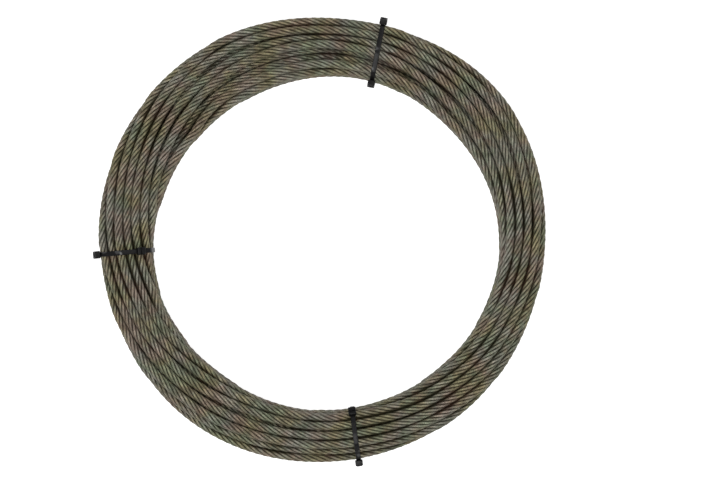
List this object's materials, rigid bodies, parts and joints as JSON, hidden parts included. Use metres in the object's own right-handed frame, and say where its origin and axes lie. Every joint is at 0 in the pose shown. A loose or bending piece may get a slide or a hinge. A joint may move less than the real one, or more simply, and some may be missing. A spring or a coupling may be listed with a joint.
{
  "type": "coil of wire rope",
  "caption": "Length of stranded steel wire rope wound into a round flat-lying coil and held by chained black cable ties.",
  "frame": {"origin": "on the coil's own axis, in the plane of the floor that it lies on", "axes": "+Z is the coil's axis and points up; +X is the direction from which the bindings' angles are counted, anticlockwise seen from above"},
  "size_m": [0.4595, 0.4571, 0.0471],
  "materials": {
    "wire_rope": "greased and tarnished, satin",
    "tie_nylon": "smooth moulded, slightly glossy"
  },
  "bodies": {
    "root": {"rope_coil": "wire_rope", "cable_tie_a_outer": "tie_nylon", "cable_tie_a_inner": "tie_nylon", "cable_tie_b_outer": "tie_nylon", "cable_tie_b_inner": "tie_nylon", "cable_tie_c_outer": "tie_nylon", "cable_tie_c_inner": "tie_nylon"}
  },
  "joints": []
}
